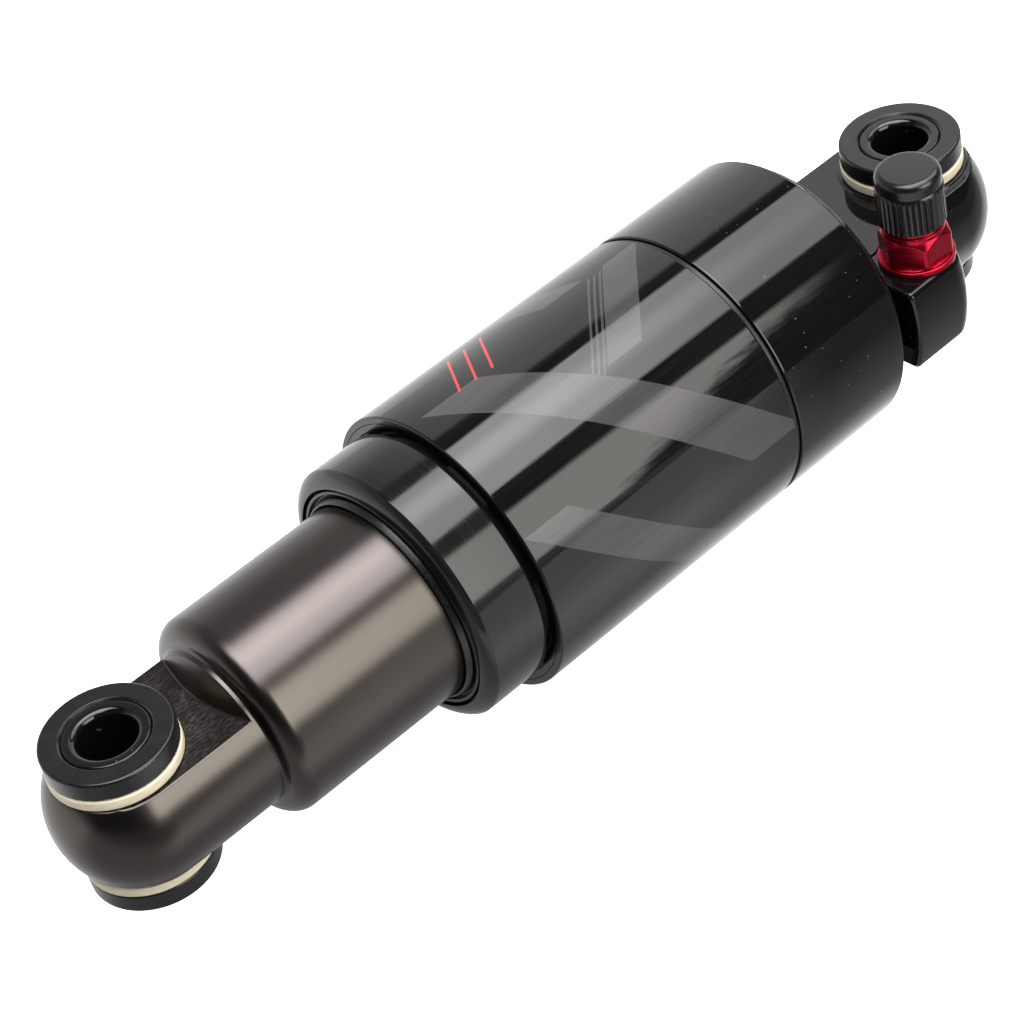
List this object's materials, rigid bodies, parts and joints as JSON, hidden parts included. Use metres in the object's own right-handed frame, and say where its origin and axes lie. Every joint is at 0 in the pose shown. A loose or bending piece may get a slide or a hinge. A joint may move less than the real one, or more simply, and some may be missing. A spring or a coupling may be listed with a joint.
{
  "type": "bicycle rear air shock",
  "caption": "Air-sprung bicycle rear shock: black can on a sliding gunmetal shaft, an eyelet with spacers at each end, red valve with black cap.",
  "frame": {"origin": "centre of the body eyelet's bolt hole, midway between its two spacer faces", "axes": "+X along the shock to the shaft eyelet, +Z along both bolt holes, +Y to the air valve's side"},
  "size_m": [0.1724, 0.0444, 0.044],
  "materials": {
    "black_gloss": "gloss black anodised",
    "black_graphic": "gloss black with translucent grey shapes",
    "black_satin": "satin black anodised",
    "gunmetal": "gunmetal anodised, satin turned",
    "red_anodised": "bright red anodised",
    "bare_aluminium": "machined",
    "steel": "ground",
    "brass": "turned brass",
    "bronze": "plain bearing bronze",
    "cream_plastic": "moulded cream",
    "black_plastic": "moulded",
    "cap_plastic": "moulded, ribbed",
    "urethane": "amber elastomer",
    "rubber": "moulded black"
  },
  "bodies": {
    "shock_body": {"body_end": "black_gloss", "air_can": "black_gloss", "outer_sleeve": "black_graphic", "sleeve_seam_ring": "rubber", "body_end_o_ring": "rubber", "volume_spacer": "black_plastic", "bottom_out_bumper": "urethane", "seal_head": "black_satin", "dust_wiper": "rubber", "shaft_quad_ring": "rubber", "shaft_guide_bush": "bronze", "seal_head_o_ring": "rubber", "top_out_bumper": "urethane", "damper_rod": "steel", "compression_shims": "steel", "damper_piston": "bare_aluminium", "piston_band": "bronze", "rebound_shims": "steel", "piston_nut": "steel", "body_bushing": "bronze", "valve_base": "red_anodised", "valve_o_ring": "rubber", "valve_core": "brass", "valve_spring": "steel"},
    "air_seals": {"air_piston_quad_ring": "rubber", "air_piston_glide_band": "bronze"},
    "shaft_body": {"shaft": "gunmetal", "air_piston": "bare_aluminium", "rod_bushing": "bronze", "rod_seal": "rubber", "rod_seal_retainer": "steel", "charge_plug": "steel", "shaft_bushing": "bronze"},
    "gas_piston": {"floating_piston": "bare_aluminium", "floating_piston_o_ring": "rubber"},
    "body_hardware": {"body_axle_tube": "black_gloss", "body_washer_upper": "cream_plastic", "body_washer_lower": "cream_plastic", "body_spacer_upper": "black_satin", "body_spacer_lower": "black_satin"},
    "shaft_hardware": {"shaft_axle_tube": "black_gloss", "shaft_washer_upper": "cream_plastic", "shaft_washer_lower": "cream_plastic", "shaft_spacer_upper": "black_satin", "shaft_spacer_lower": "black_satin"},
    "pin": {"valve_pin": "brass"},
    "cap_seal": {"valve_cap_seal": "rubber"},
    "cap": {"valve_cap": "cap_plastic"}
  },
  "joints": [
    {"name": "shaft_stroke", "type": "slide", "parent": "shock_body", "child": "air_seals", "axis": [-1, 0, 0], "range_m": [0, 0.025], "stiffness_N_per_m": 20000, "springref_m": -0.002},
    {"name": "shaft_turn", "type": "hinge", "parent": "air_seals", "child": "shaft_body", "pos_m": [0.08, 0, 0], "axis": [1, 0, 0], "continuous": true},
    {"name": "gas_piston_slide", "type": "slide", "parent": "shaft_body", "child": "gas_piston", "axis": [1, 0, 0], "range_m": [0, 0.0039]},
    {"name": "body_hardware_turn", "type": "hinge", "parent": "shock_body", "child": "body_hardware", "pos_m": [0, 0, 0], "axis": [0, 0, 1], "continuous": true},
    {"name": "shaft_hardware_turn", "type": "hinge", "parent": "shaft_body", "child": "shaft_hardware", "pos_m": [0.15, 0, 0], "axis": [0, 0, 1], "continuous": true},
    {"name": "valve_pin_press", "type": "slide", "parent": "shock_body", "child": "pin", "axis": [0, 0, -1], "range_m": [0, 0.0012], "stiffness_N_per_m": 600, "springref_m": -0.001, "deforming": ["valve_spring"]},
    {"name": "valve_cap_lift", "type": "slide", "parent": "shock_body", "child": "cap_seal", "axis": [0, 0, 1], "range_m": [0, 0.00555]},
    {"name": "valve_cap_turn", "type": "hinge", "parent": "cap_seal", "child": "cap", "pos_m": [0.0152, 0.016, 0.0175], "axis": [0, 0, 1], "range_deg": [0, 2520]}
  ],
  "couplings": [
    {"joint": "gas_piston_slide", "follows": "shaft_stroke", "ratio": 0.14793},
    {"joint": "valve_cap_turn", "follows": "valve_cap_lift", "rad_per_m": 7915.8}
  ]
}
